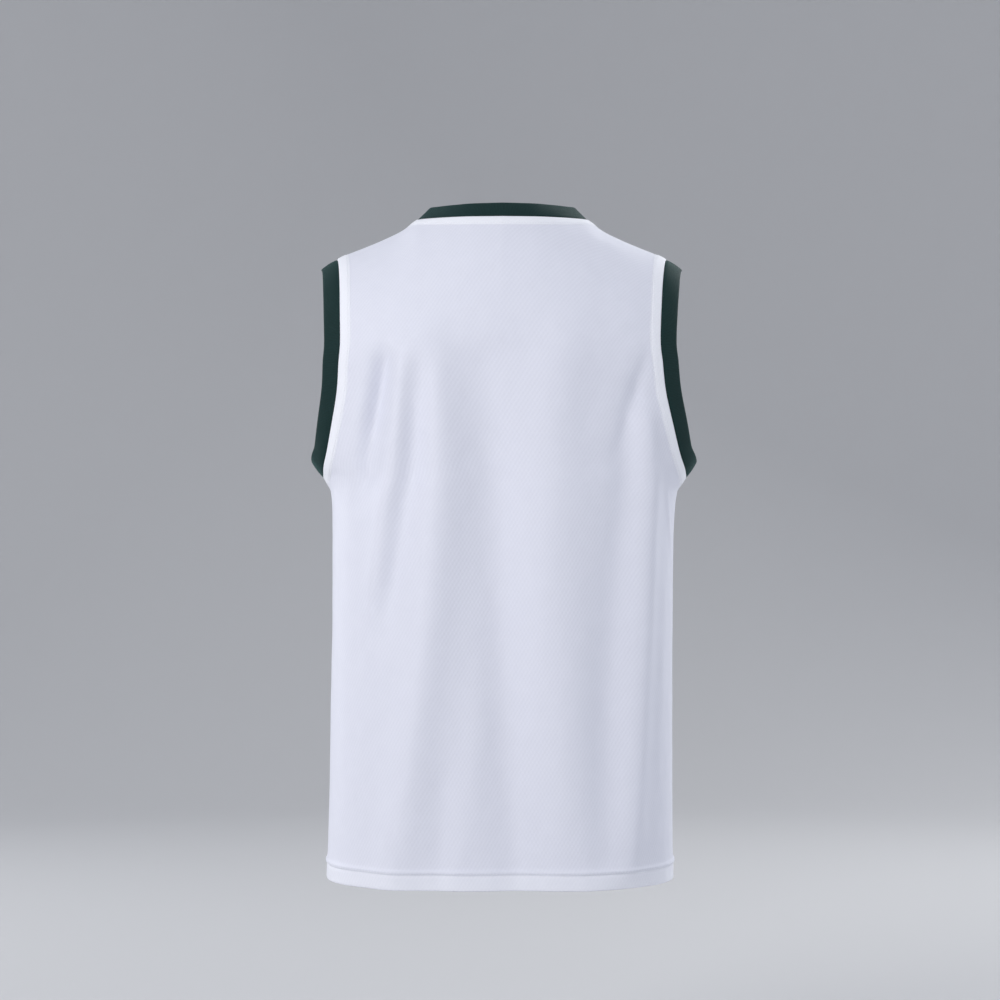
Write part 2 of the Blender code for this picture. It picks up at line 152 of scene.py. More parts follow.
# Smaller creases, which lie on the folds above
CREASES = [
    Fold(BACK, (0.116, -0.122), (0.135, -0.197), (0.158, -0.284), 0.009, -0.0060),
    Fold(BACK, (0.098, -0.110), (0.108, -0.230), (0.127, -0.390), 0.011, 0.0024),
    Fold(BACK, (0.012, -0.090), (0.009, -0.165), (0.009, -0.250), 0.024, 0.0026),
    Fold(BACK, (-0.092, -0.060), (-0.082, -0.160), (-0.074, -0.300), 0.028, -0.0026),
    Fold(BACK, (-0.172, -0.126), (-0.142, -0.182), (-0.108, -0.280), 0.008, -0.0022),
    Fold(BACK, (-0.164, -0.160), (-0.154, -0.196), (-0.140, -0.260), 0.009, 0.0008),
    Fold(BACK, (-0.166, -0.126), (-0.134, -0.127), (-0.098, -0.133), 0.006, -0.0007),
    Fold(BACK, (-0.070, -0.010), (-0.112, -0.031), (-0.158, -0.049), 0.008, 0.0012),
    Fold(BACK, (-0.066, -0.022), (-0.096, -0.040), (-0.140, -0.066), 0.010, -0.0012),
    Fold(BACK, (0.082, -0.022), (0.112, -0.036), (0.150, -0.056), 0.011, -0.0006),
    Fold(BACK, (0.150, -0.330), (0.156, -0.450), (0.160, -0.600), 0.016, -0.0009),
    Fold(BACK, (-0.180, -0.330), (-0.178, -0.480), (-0.172, -0.640), 0.013, 0.0010),
    Fold(BACK, (-0.180, -0.262), (-0.194, -0.306), (-0.222, -0.366), 0.004, 0.0010),
    Fold(BACK, (-0.078, -0.480), (-0.076, -0.580), (-0.070, -0.690), 0.014, -0.0007),
    Fold(BACK, (0.086, -0.560), (0.094, -0.620), (0.098, -0.690), 0.010, -0.0007),
    Fold(BACK, (-0.016, -0.560), (-0.024, -0.620), (-0.028, -0.690), 0.009, 0.0006),
    Fold(FRONT, (0.150, -0.150), (0.130, -0.200), (0.112, -0.290), 0.009, -0.0015),
    Fold(FRONT, (0.156, -0.180), (0.146, -0.230), (0.132, -0.300), 0.009, 0.0008),
    Fold(FRONT, (-0.132, -0.180), (-0.134, -0.220), (-0.144, -0.280), 0.008, -0.0012),
    Fold(FRONT, (-0.116, -0.190), (-0.122, -0.240), (-0.134, -0.320), 0.010, 0.0009),
    Fold(FRONT, (0.088, -0.020), (0.116, -0.038), (0.150, -0.062), 0.010, -0.0009),
    Fold(FRONT, (-0.084, -0.022), (-0.112, -0.040), (-0.146, -0.066), 0.010, -0.0007),
    Fold(FRONT, (0.150, -0.340), (0.152, -0.460), (0.158, -0.600), 0.015, -0.0010),
    Fold(FRONT, (-0.176, -0.330), (-0.172, -0.480), (-0.170, -0.640), 0.013, -0.0010),
    Fold(FRONT, (0.064, -0.540), (0.070, -0.620), (0.072, -0.690), 0.011, -0.0007),
    Fold(FRONT, (-0.090, -0.500), (-0.086, -0.600), (-0.088, -0.690), 0.012, -0.0007),
]
FOLD_PIECES = 10  # straight pieces that stand for a fold's bent line
FOLD_END = 0.20  # share of a fold's length over which each end dies away
CREASE_END = 0.45  # and the same share of a crease
FOLD_AT_HEM = -0.64  # folds whose foot lies this low still show at the hem
FOLD_RUN_OUT = 0.625  # so they die away later, by this share of an end
FOLD_FADE_AT_SIDES = 0.036  # the folds die away over this distance from a side edge
FOLD_FADE_AT_TOP = 0.030  # and over this one from the neck and shoulders
CREASE_CLEAR = 0.004  # creases begin this far from a bound seam
CREASE_FADE = 0.016  # and reach their depth over this distance
CREASE_FADE_AT_PLAIN = 0.012  # or over this one from a side or shoulder seam

# The slight unevenness of a soft knit is a sum of waves, each with its length across and up the
# cloth and how far it leans. The shifts, in radians, keep their crests apart.
Wave = namedtuple("Wave", "across up lean")
WAVES = [
    Wave(0.041, 0.150, 0.3),
    Wave(0.029, 0.110, -0.2),
    Wave(0.063, 0.090, 0.5),
    Wave(0.019, 0.070, 0.1),
]
WAVE_DEPTH = 0.00007
WAVE_SHIFT = 1.7  # from one wave to the next
WAVE_SHIFT_UP = 2.3  # times as much on the way up

# Cloth and sewing
KNIT_WALL = 0.0008
KNIT_STANDS_OUT = 0.0007  # middle of the cloth, from the body's surface
DITCH_DEPTH = 0.0010  # of a seam, where the cloth rolls into it
DITCH_REACH = 0.0017
TROUGH_DEPTH = 0.0006  # that a topstitch pulls into the cloth
TROUGH_BREADTH = 0.0013
DOUBLE_TO_SINGLE = 0.0015  # over which a second layer stops showing through
SEAM_EVENNESS = 0.010  # reach along a bound seam over which its directions are evened out

# The seam allowances of the neck and armholes are turned inwards and topstitched flat
ALLOWANCE = 0.0122
ALLOWANCE_TRIM = 0.0006  # that they are cut back by
ALLOWANCE_LINES = (0.0004, 0.003, 0.006, 0.009, ALLOWANCE - ALLOWANCE_TRIM)  # from the seam
ALLOWANCE_WALL = 0.0006
ALLOWANCE_GAP = 0.0002  # between them and the panel's cloth
ALLOWANCE_RISE = 0.0007  # that they lift the cloth by
ALLOWANCE_SLOPE = 0.0022  # over which the lifted cloth comes down

# Those of the side and shoulder seams are turned to the back
PLAIN_ALLOWANCE = 0.006
PLAIN_RISE = {BACK: 0.00035, FRONT: 0.0001}
PLAIN_SLOPE = 0.0025
PLAIN_DITCH = 0.6  # share of the depth of a bound seam's ditch

HEM_DEPTH = 0.0155
HEM_RISE = 0.0004
HEM_SLOPE_START = 0.001  # above the turned strip
HEM_SLOPE = 0.010
HEM_TROUGH_INSET = 0.0010  # below the top of the turned strip
HEM_STITCH_INSET = 0.0006
HEM_PUCKER = 0.0014  # that the cloth swells out by just above the hem's topstitch
HEM_PUCKER_MIDDLE = 0.0018  # of the swelling, above the turned strip
HEM_PUCKER_BREADTH = 0.0020
HEM_FOLD_GAP = 0.0011  # between the middles of the hem's two layers
HEM_FOLD_ANGLES = (150, 120, 90, 60, 30)  # round the fold, in degrees
HEM_WHITENESS = 0.5  # where the strips along the bound seams have 1
HEM_SAMPLES = 260  # across a panel, for its rows of topstitching

NEEDLE_GAP = 0.0024  # between the two rows of a topstitch
TOPSTITCH_INSET = 0.0008  # of their middle from the edge of the allowance
STITCH_PITCH = 0.0029
STITCH_LENGTH = 0.0024
STITCH_SIDES = 6
THREAD_RADIUS = 0.00024

# Rings of one stitch, whose ends dip into the cloth: the way along as a share of its length, and
# the lift and the size in radii of the thread
StitchRing = namedtuple("StitchRing", "along lift size")
STITCH_RINGS = [
    StitchRing(-0.50, -1.90, 0.55),
    StitchRing(-0.36, -0.20, 0.95),
    StitchRing(0.00, 0.35, 1.05),
    StitchRing(0.36, -0.20, 0.95),
    StitchRing(0.50, -1.90, 0.55),
]

# Section of a folded rib band: the way across from the seam, and the way out
BandPoint = namedtuple("BandPoint", "across out")
BAND_SECTION = [BandPoint(*place) for place in (
    (-0.0006, 0.0002), (-0.0004, 0.0009), (0.0003, 0.0015), (0.0014, 0.0020),
    (0.0035, 0.0023), (0.0065, 0.0026), (0.0100, 0.0027), (0.0135, 0.0026),
    (0.0165, 0.0024), (0.0183, 0.0021), (0.0192, 0.0016), (0.0195, 0.0011),
    (0.0192, 0.0005), (0.0183, 0.0001), (0.0165, 0.0000), (0.0135, 0.0001),
    (0.0100, 0.0002), (0.0065, 0.0001), (0.0030, -0.0002), (0.0008, -0.0004),
)]

# ---------------------------------------------------------------- curves and the worn form


def smooth(knots, values):
    """A function of arrays that passes through the values at the knots without overshooting."""
    knots = np.array(knots, float)
    values = np.array(values, float)
    run = np.diff(knots)
    secant = np.diff(values) / run
    inner = np.zeros(len(knots) - 2)
    same = secant[:-1] * secant[1:] > 0
    inner[same] = 2 / (1 / secant[:-1][same] + 1 / secant[1:][same])
    slope = np.concatenate([secant[:1], inner, secant[-1:]])

    def at(place):
        place = np.clip(place, knots[0], knots[-1])
        i = np.clip(np.searchsorted(knots, place, side="right") - 1, 0, len(run) - 1)
        t = (place - knots[i]) / run[i]
        start = values[i] * (1 + 2 * t) + slope[i] * run[i] * t
        end = values[i + 1] * (3 - 2 * t) - slope[i + 1] * run[i] * (1 - t)
        return start * (1 - t) ** 2 + end * t**2

    return at


def smoothstep(share):
    share = np.clip(share, 0, 1)
    return share * share * (3 - 2 * share)


def unit(vectors):
    return vectors / np.linalg.norm(vectors, axis=-1, keepdims=True)


def flattened(vectors, normals):
    """Vectors without what they have along these unit normals."""
    return vectors - np.sum(vectors * normals, axis=-1, keepdims=True) * normals


def column(rows, name):
    return [getattr(row, name) for row in rows]


def section_curve(name):
    return smooth(column(SECTIONS, "height"), column(SECTIONS, name))


half_width_at = section_curve("half_width")
corner_at = section_curve("corner")
sway_at = section_curve("sway")
depth_at = {BACK: section_curve("back_depth"), FRONT: section_curve("front_depth")}
ridge_at = smooth(column(RIDGE, "half_width"), column(RIDGE, "height"))


def reach_at(turn, corner):
    """How far a section with these corners reaches at this turn, where a unit circle reaches 1."""
    return (np.abs(np.sin(turn)) ** corner + np.abs(np.cos(turn)) ** corner) ** (-1 / corner)


def body(side, turn, rise):
    """Points of the smooth worn form.

    turn is the angle round the body from the centre line of this side, in radians. rise is the
    way up the cloth from this side's dome level: straight up below it, and over the dome above.
    """
    level = DOME_LEVEL[side]
    height = level + np.minimum(rise, 0)
    lean = np.clip(rise / DOME_RADIUS[side], 0, np.pi / 2)
    reach = reach_at(turn, corner_at(height))
    x = half_width_at(height) * reach * np.sin(turn)
    outer = smoothstep(np.abs(x) / NECK_HALF_WIDTH)
    closing = CLOSING_AT_CENTRE[side] * (1 - outer) + CLOSING_AT_SHOULDER[side] * outer
    y = side * depth_at[side](height) * reach * np.cos(turn) * np.cos(lean) ** closing
    z = height + (ridge_at(np.abs(x)) - level) * np.sin(lean)
    return np.stack([x + sway_at(z), y, z], axis=-1)


def slopes(side, turn, rise):
    """How a point of the body moves for a turn and for a rise."""
    step = SLOPE_STEP
    rise = np.minimum(rise, DOME_RADIUS[side] * np.pi / 2 - step)
    round_the_body = body(side, turn + step, rise) - body(side, turn - step, rise)
    upwards = body(side, turn, rise + step) - body(side, turn, rise - step)
    return round_the_body / (2 * step), upwards / (2 * step)


def outward_at(side, turn, rise):
    """Unit vectors square to the cloth, pointing away from the body."""
    round_the_body, upwards = slopes(side, turn, rise)
    return unit(-side * np.cross(round_the_body, upwards))


def turn_at(side, half_width):
    """The turn at which the dome of this side has this half width."""
    level = DOME_LEVEL[side]
    corner = corner_at(level)
    share = np.clip(half_width / half_width_at(level), TINY, 1)
    return np.arctan((share**-corner - 1) ** (-1 / corner))


def rise_at(side, turn, height):
    """The rise at which this side has this height."""
    level = DOME_LEVEL[side]
    ridge = ridge_at(half_width_at(level) * reach_at(turn, corner_at(level)) * np.sin(turn))
    lean = np.arcsin(np.clip((height - level) / (ridge - level), 0, 1))
    return np.where(height < level, height - level, lean * DOME_RADIUS[side])


def length_along(points):
    steps = np.linalg.norm(np.diff(points, axis=0), axis=1)
    return np.concatenate([[0], np.cumsum(steps)])


# ---------------------------------------------------------------- the grid of a half panel

NECK_COLUMNS = 10
SHOULDER_COLUMNS = 8
COLUMNS = NECK_COLUMNS + SHOULDER_COLUMNS
ARMHOLE_ROWS = 18
FINE = 240  # samples of an edge before it is divided
SETTLING_PASSES = 80
SETTLING_PACE = 0.7
WIDE = 1 / 4  # steps of the fine grid in the middle of the cloth, in columns or rows
CLOSE = 1 / 12  # and near its edges, where the sewing lies
SEWN_MARGIN = 1.5  # columns or rows that have the close steps
HEM_MARGIN = 0.022  # above the hem, where the rows are close as well
HEM_ROW = 0.0012  # height of a row there
BODY_ROW = 0.0034  # and of one between there and the underarm
SHOULDER_THINNING = 4  # one in so many points of a seam is enough to measure from
SIDE_THINNING = 6


def stops(*stretches):
    """Places along a grid from (start, end, step) stretches that follow on each other."""
    places = [stretches[0][0]]
    for start, end, step in stretches:
        places.extend(np.linspace(start, end, max(1, round(abs(end - start) / step)) + 1)[1:])
    return np.array(places)


def edge_lines(side):
    """The four edges of the upper half panel, as rows of (turn, rise)."""
    share = np.sin(np.linspace(0, np.pi / 2, FINE))
    if side == BACK:
        height = -NAPE_DROP * (1 - share**2)
    else:
        height = -SCOOP_DROP * (1 - share**SCOOP_SQUARENESS) ** (1 / SCOOP_SQUARENESS)
    turn = turn_at(side, share * NECK_HALF_WIDTH)
    neck = np.stack([turn, rise_at(side, turn, height)], axis=1)

    top = DOME_RADIUS[side] * np.pi / 2
    half_width = np.linspace(NECK_HALF_WIDTH, SHOULDER_HALF_WIDTH, FINE)
    shoulder = np.stack([turn_at(side, half_width), np.full(FINE, top)], axis=1)

    turns = np.radians(column(ARMHOLE, "back_turn" if side == BACK else "front_turn"))
    turns = np.append(turns, turn_at(side, SHOULDER_HALF_WIDTH))
    heights = np.append(column(ARMHOLE, "height"), ridge_at(SHOULDER_HALF_WIDTH))
    rises = rise_at(side, turns, heights)
    length = length_along(body(side, turns, rises))
    fine = np.linspace(0, length[-1], FINE)
    armhole = np.stack([smooth(length, turns)(fine), smooth(length, rises)(fine)], axis=1)

    underarm = UNDERARM_HEIGHT - DOME_LEVEL[side]
    centre = np.stack([np.zeros(FINE), np.linspace(underarm, neck[0, 1], FINE)], axis=1)
    return neck, shoulder, armhole, centre


def divided(side, line, shares):
    """Points of a line of (turn, rise) rows at these shares of its length on the body."""
    length = length_along(body(side, line[:, 0], line[:, 1]))
    return np.stack([np.interp(shares * length[-1], length, line[:, i]) for i in (0, 1)], axis=1)


def level_row(side, columns, height):
    turn = columns / COLUMNS * np.pi / 2
    return np.stack([turn, np.full(len(columns), height - DOME_LEVEL[side])], axis=1)


def spread(side, columns, rows):
    """A grid of (turn, rise) spread between the four edges of the upper half panel."""
    neck, shoulder, armhole, centre = edge_lines(side)
    inner = columns <= NECK_COLUMNS
    top = np.concatenate([
        divided(side, neck, columns[inner] / NECK_COLUMNS),
        divided(side, shoulder, (columns[~inner] - NECK_COLUMNS) / SHOULDER_COLUMNS),
    ])
    bottom = level_row(side, columns, UNDERARM_HEIGHT)
    left = divided(side, centre, rows / ARMHOLE_ROWS)
    right = divided(side, armhole, rows / ARMHOLE_ROWS)
    u = (columns / COLUMNS)[None, :, None]
    v = (rows / ARMHOLE_ROWS)[:, None, None]
    between_rows = (1 - v) * bottom + v * top
    between_sides = (1 - u) * left[:, None] + u * right[:, None]
    corners = (1 - v) * ((1 - u) * bottom[0] + u * bottom[-1]) + v * ((1 - u) * top[0] + u * top[-1])
    return between_rows + between_sides - corners


def settled(grid):
    """A grid of (turn, rise) evened out inside its edges, so that none of its lines cross."""
    grid = grid * [MEAN_RADIUS, 1]
    for _ in range(SETTLING_PASSES):
        inner = grid[1:-1, 1:-1]
        left, right = grid[1:-1, :-2], grid[1:-1, 2:]
        below, above = grid[:-2, 1:-1], grid[2:, 1:-1]
        along, up = (right - left) / 2, (above - below) / 2
        diagonal = (grid[2:, 2:] - grid[2:, :-2] - grid[:-2, 2:] + grid[:-2, :-2]) / 4
        a = np.sum(up * up, axis=-1, keepdims=True)
        b = np.sum(along * up, axis=-1, keepdims=True)
        c = np.sum(along * along, axis=-1, keepdims=True)
        even = (a * (left + right) + c * (below + above) - 2 * b * diagonal) / (2 * (a + c))
        grid[1:-1, 1:-1] = inner + SETTLING_PACE * (even - inner)
    return grid / [MEAN_RADIUS, 1]


def upper_grid(side, columns, rows):
    """The fine grid of the upper half panel, moved as the settled coarse one is."""
    all_columns = np.arange(COLUMNS + 1.0)
    all_rows = np.arange(ARMHOLE_ROWS + 1.0)
    coarse = spread(side, all_columns, all_rows)
    moved = settled(coarse) - coarse
    fine = spread(side, columns, rows)
    for i in (0, 1):
        by_row = np.array([np.interp(columns, all_columns, row) for row in moved[..., i]])
        fine[..., i] += np.array([np.interp(rows, all_rows, line) for line in by_row.T]).T
    return fine


def panel_grid(side):
    """(turn, rise) of a whole panel: rows from the hem up, columns towards +X.

    Also returns the number of rows below the armhole, and the columns of a half panel.
    """
    margin = COLUMNS - SEWN_MARGIN
    columns = stops((0, NECK_COLUMNS, WIDE), (NECK_COLUMNS, margin, WIDE), (margin, COLUMNS, CLOSE))
    row_margin = ARMHOLE_ROWS - SEWN_MARGIN
    rows = stops((0, row_margin, WIDE), (row_margin, ARMHOLE_ROWS, CLOSE))
    hem_top = -BODY_LENGTH + HEM_MARGIN
    heights = stops((-BODY_LENGTH, hem_top, HEM_ROW), (hem_top, UNDERARM_HEIGHT, BODY_ROW))[:-1]
    lower = np.array([level_row(side, columns, height) for height in heights])
    half = np.concatenate([lower, upper_grid(side, columns, rows)])
    mirrored = half[:, :0:-1] * np.array([-1, 1])
    return np.concatenate([mirrored, half], axis=1), len(heights), columns


# ---------------------------------------------------------------- relief of the cloth


def bent_line(fold):
    """Points along a fold, on the smooth curve through its head, middle and foot."""
    t = np.linspace(0, 1, FOLD_PIECES + 1)[:, None]
    head, middle, foot = (np.array(p) for p in (fold.head, fold.middle, fold.foot))
    pull = 2 * middle - (head + foot) / 2
    return (1 - t) ** 2 * head + 2 * t * (1 - t) * pull + t**2 * foot


def nearest_on(line, place):
    """Distance from each place to a line of points, and the share of the line where it is."""
    nearest = np.full(place.shape[:-1], np.inf)
    along = np.zeros(place.shape[:-1])
    for i, (start, end) in enumerate(zip(line[:-1], line[1:])):
        way = end - start
        t = np.clip(((place - start) @ way) / (way @ way), 0, 1)
        distance = np.linalg.norm(place - start - t[..., None] * way, axis=-1)
        closer = distance < nearest
        nearest = np.where(closer, distance, nearest)
        along = np.where(closer, (i + t) / (len(line) - 1), along)
    return nearest, along


def rounded_ridge(away, breadth):
    """Height of a rounded ridge, 1 at its crest, this far away from its crest."""
    return np.exp(-((away / breadth) ** 2))


def fold_relief(side, turn, rise, folds, end):
    """How far these folds move the cloth outwards. "end" is the share over which an end dies away."""
    height = body(side, turn, rise)[..., 2]
    across = turn * half_width_at(np.minimum(height, DOME_LEVEL[side]))
    place = np.stack([across, height], axis=-1)
    relief = np.zeros(turn.shape)
    for fold in folds:
        if fold.side != side:
            continue
        distance, along = nearest_on(bent_line(fold), place)
        run_out = 1 + FOLD_RUN_OUT * end if fold.foot[1] < FOLD_AT_HEM else 1
        ends = smoothstep(along / end) * smoothstep((run_out - along) / end)
        relief += fold.depth * ends * rounded_ridge(distance, fold.breadth)
    return relief


def waviness(side, turn, rise):
    """The slight unevenness of a soft knit."""
    across = turn * MEAN_RADIUS
    total = np.zeros(turn.shape)
    for i, row in enumerate(WAVES):
        shift = WAVE_SHIFT * i + side
        level = np.sin(2 * np.pi * (across + row.lean * rise) / row.across + shift)
        total += level * np.sin(2 * np.pi * rise / row.up + WAVE_SHIFT_UP * shift)
    return WAVE_DEPTH * total


def seam_relief(distance):
    """Relief beside a bound seam: the ditch, the lifted allowance and the topstitch's trough."""
    ditch = -DITCH_DEPTH * (1 - smoothstep(distance / DITCH_REACH))
    past_edge = distance - ALLOWANCE + ALLOWANCE_TRIM
    lift = ALLOWANCE_RISE * (1 - smoothstep(past_edge / ALLOWANCE_SLOPE))
    trough = -TROUGH_DEPTH * rounded_ridge(distance - ALLOWANCE + TOPSTITCH_INSET, TROUGH_BREADTH)
    return ditch + lift + trough


def plain_seam_relief(side, distance):
    """Relief beside a side or shoulder seam, whose allowances are turned to the back."""
    ditch = -PLAIN_DITCH * DITCH_DEPTH * (1 - smoothstep(distance / DITCH_REACH))
    lift = PLAIN_RISE[side] * (1 - smoothstep((distance - PLAIN_ALLOWANCE) / PLAIN_SLOPE))
    return ditch + lift


def hem_relief(height):
    """Relief by the height above the hem's fold: the turned strip, its trough and the cloth above."""
    lift = HEM_RISE * (1 - smoothstep((height - HEM_DEPTH - HEM_SLOPE_START) / HEM_SLOPE))
    trough = -TROUGH_DEPTH * rounded_ridge(height - HEM_DEPTH + HEM_TROUGH_INSET, TROUGH_BREADTH)
    pucker = HEM_PUCKER * rounded_ridge(height - HEM_DEPTH - HEM_PUCKER_MIDDLE, HEM_PUCKER_BREADTH)
    return lift + trough + pucker


class Panel:
    """A panel's grid, its seams and the surface that they shape."""

    def __init__(self, side):
        self.side = side
        self.grid, self.lower_rows, self.columns = panel_grid(side)
        base = self.smooth_points(self.grid)
        half = len(self.columns) - 1
        neck = np.searchsorted(self.columns, NECK_COLUMNS)
        self.neck_slice = slice(half - neck, half + neck + 1)
        self.armhole_slice = slice(self.lower_rows, None)
        self.neck_edge = base[-1, self.neck_slice]
        right, left = slice(0, half - neck + 1), slice(half + neck, None)
        self.shoulder_edges = [base[-1, part][::SHOULDER_THINNING] for part in (right, left)]
        self.armhole_edges = [base[self.armhole_slice, i] for i in (0, -1)]
        self.side_edges = [base[: self.lower_rows + 1 : SIDE_THINNING, i] for i in (0, -1)]

    def smooth_points(self, grid):
        return body(self.side, grid[..., 0], grid[..., 1])

    def distances(self, points):
        """How far points are from the neck, armhole, shoulder and side seams and from the hem."""
        def away_from(*lines):
            return np.min([nearest_on(line, points)[0] for line in lines], axis=0)

        return (
            away_from(self.neck_edge), away_from(*self.armhole_edges), away_from(*self.shoulder_edges),
            away_from(*self.side_edges), points[..., 2] + BODY_LENGTH,
        )

    def doubled(self, grid):
        """How much whiter the cloth looks over an allowance or the turned hem, from 0 to 1."""
        neck, armhole, shoulder, seam, hem = self.distances(self.smooth_points(grid))
        bound = np.minimum(neck, armhole) - ALLOWANCE
        single = hem - HEM_DEPTH
        if self.side == BACK:
            single = np.minimum(single, np.minimum(shoulder, seam) - PLAIN_ALLOWANCE)
        bound, single = (
            1 - smoothstep(inland / DOUBLE_TO_SINGLE + 0.5) for inland in (bound, single)
        )
        return np.maximum(bound, HEM_WHITENESS * single)

    def reliefs(self, grid):
        """How far the cloth's middle stands out from the smooth form at these (turn, rise)."""
        side, turn, rise = self.side, grid[..., 0], grid[..., 1]
        neck, armhole, shoulder, seam, hem = self.distances(self.smooth_points(grid))
        fade = smoothstep(np.minimum(armhole, seam) / FOLD_FADE_AT_SIDES)
        fade = fade * smoothstep(np.minimum(neck, shoulder) / FOLD_FADE_AT_TOP)
        bound = np.minimum(neck, armhole)
        plain = np.minimum(shoulder, seam)
        crease_fade = smoothstep((bound - CREASE_CLEAR) / CREASE_FADE)
        crease_fade = crease_fade * smoothstep(plain / CREASE_FADE_AT_PLAIN)
        relief = fold_relief(side, turn, rise, FOLDS, FOLD_END) * fade
        relief = relief + fold_relief(side, turn, rise, CREASES, CREASE_END) * crease_fade
        relief = relief + waviness(side, turn, rise) * crease_fade
        return relief + seam_relief(bound) + plain_seam_relief(side, plain) + hem_relief(hem)

    def surface(self, grid, out=0.0):
        """Points of the cloth's middle, or of a surface that lies further out."""
        outward = outward_at(self.side, grid[..., 0], grid[..., 1])
        height = KNIT_STANDS_OUT + self.reliefs(grid) + out
        return self.smooth_points(grid) + height[..., None] * outward, outward

    def inland(self, grid, direction, distance):
        """(turn, rise) reached by walking this far over the cloth from these places."""
        grid = grid.copy()
        steps = max(1, round(distance / WALK_STEP))
        step = distance / steps
        for _ in range(steps):
            round_the_body, upwards = slopes(self.side, grid[..., 0], grid[..., 1])
            direction = unit(flattened(direction, unit(np.cross(round_the_body, upwards))))
            # products of the two slopes and the direction, which share the step between them
            rr = np.sum(round_the_body**2, axis=-1)
            uu = np.sum(upwards**2, axis=-1)
            ru = np.sum(round_the_body * upwards, axis=-1)
            dr = np.sum(direction * round_the_body, axis=-1)
            du = np.sum(direction * upwards, axis=-1)
            area = rr * uu - ru**2
            grid[..., 0] += step * (dr * uu - du * ru) / area
            grid[..., 1] += step * (du * rr - dr * ru) / area
            grid[..., 1] = np.minimum(grid[..., 1], DOME_RADIUS[self.side] * np.pi / 2)
        return grid


# ---------------------------------------------------------------- meshes


def deselect_all():
    bpy.ops.object.select_all(action="DESELECT")


def add_mesh(name, points, faces, material, uv=None):
    """A mesh object. uv gives, for each point, its place on the flat cloth in metres."""
    mesh = bpy.data.meshes.new(name)
    mesh.from_pydata(np.reshape(points, (-1, 3)).tolist(), [], faces)
    mesh.materials.append(material)
    mesh.shade_smooth()
    if uv is not None:
        layer = mesh.uv_layers.new(name="flat cloth")
        index = np.empty(len(mesh.loops), np.int32)
        mesh.loops.foreach_get("vertex_index", index)
        layer.data.foreach_set("uv", np.asarray(uv, np.float32).reshape(-1, 2)[index].ravel())
    obj = bpy.data.objects.new(name, mesh)
    bpy.context.scene.collection.objects.link(obj)
    return obj


def grid_faces(rows, columns, closed_columns=False, closed_rows=False, flip=False):
    """Faces between the neighbours in a grid of points, listed row by row."""
    left = np.arange(columns if closed_columns else columns - 1)[None, :]
    right = (left + 1) % columns
    row = np.arange(rows if closed_rows else rows - 1)[:, None]
    low, high = row * columns, (row + 1) % rows * columns
    faces = np.stack([low + left, low + right, high + right, high + left], axis=-1).reshape(-1, 4)
    return (faces[:, ::-1] if flip else faces).tolist()


def flat_places(side, grid):
    """Places on the flat cloth: the wales run up at one turn, and the courses lie level."""
    turn = np.linspace(0, np.pi / 2, FINE)
    length = length_along(body(side, turn, np.full(FINE, WAIST_HEIGHT - DOME_LEVEL[side])))
    across = np.sign(grid[..., 0]) * np.interp(np.abs(grid[..., 0]), turn, length)
    return np.stack([across, grid[..., 1] + DOME_LEVEL[side]], axis=-1)


def thicken(obj, wall):
    modifier = obj.modifiers.new("cloth thickness", "SOLIDIFY")
    modifier.thickness = wall
    modifier.offset = 0
    return obj


def panel_cloth(panel, name, material):
    """The panel's cloth, with its hem folded up inside."""
    points, outward = panel.surface(panel.grid)
    flat = flat_places(panel.side, panel.grid)
    height = flat[:, 0, 1] + BODY_LENGTH
    gap = HEM_FOLD_GAP + HEM_RISE
    turned, turned_flat = [], []
    for row in range(int(np.sum(height < HEM_DEPTH)) - 1, 0, -1):
        turned.append(points[row] - gap * outward[row])
        turned_flat.append(flat[0] - [0, height[row]])
    for angle in np.radians(HEM_FOLD_ANGLES):
        inwards = gap / 2 * (1 - np.cos(angle))
        down = gap / 2 * np.sin(angle)
        turned.append(points[0] - inwards * outward[0] - [0, 0, down])
        turned_flat.append(flat[0] - [0, gap / 2 * angle])
    points = np.concatenate([np.array(turned), points])
    flat = np.concatenate([np.array(turned_flat), flat])
    faces = grid_faces(points.shape[0], points.shape[1], flip=panel.side == BACK)
    obj = add_mesh(name, points, faces, material, flat)
    doubled = np.full((len(turned), points.shape[1]), HEM_WHITENESS)
    doubled = np.concatenate([doubled, panel.doubled(panel.grid)])
    layer = obj.data.attributes.new("doubled cloth", "FLOAT", "POINT")
    layer.data.foreach_set("value", doubled.ravel().astype(np.float32))
    return thicken(obj, KNIT_WALL)


def closed(line):
    """A loop's rows with the first one again at the end."""
    return np.concatenate([line, line[:1]])


def joined(back, front):
    """One closed loop from the edges of the two panels, whose ends meet in pairs."""
    return np.concatenate([back, front[::-1][1:-1]])


def joined_halfway(back, front):
    """The points and outward vectors of a closed loop round both panels.

    Each panel gives its own points and outward vectors. Where the panels meet, the loop runs
    halfway between them.
    """
    points, outward = (joined(*halves) for halves in zip(back, front))
    for here, there in ((0, 0), (len(back[0]) - 1, -1)):
        points[here] = (back[0][here] + front[0][there]) / 2
        outward[here] = unit(back[1][here] + front[1][there])
    return points, outward


def evened(values, length):
    """Values on a closed loop, evened out along it."""
    place = length[:-1]
    gap = np.abs(place[:, None] - place[None, :])
    gap = np.minimum(gap, length[-1] - gap)
    steps = np.diff(length)
    weight = rounded_ridge(gap, SEAM_EVENNESS) * ((steps + np.roll(steps, 1)) / 2)
    return (weight @ values) / weight.sum(axis=1, keepdims=True)


# A seam between both panels and a band: a loop of points, the directions out of the cloth and
# across the band, the length along the loop, and the (turn, rise) of each panel's edge
Seam = namedtuple("Seam", "points outward across length grids")


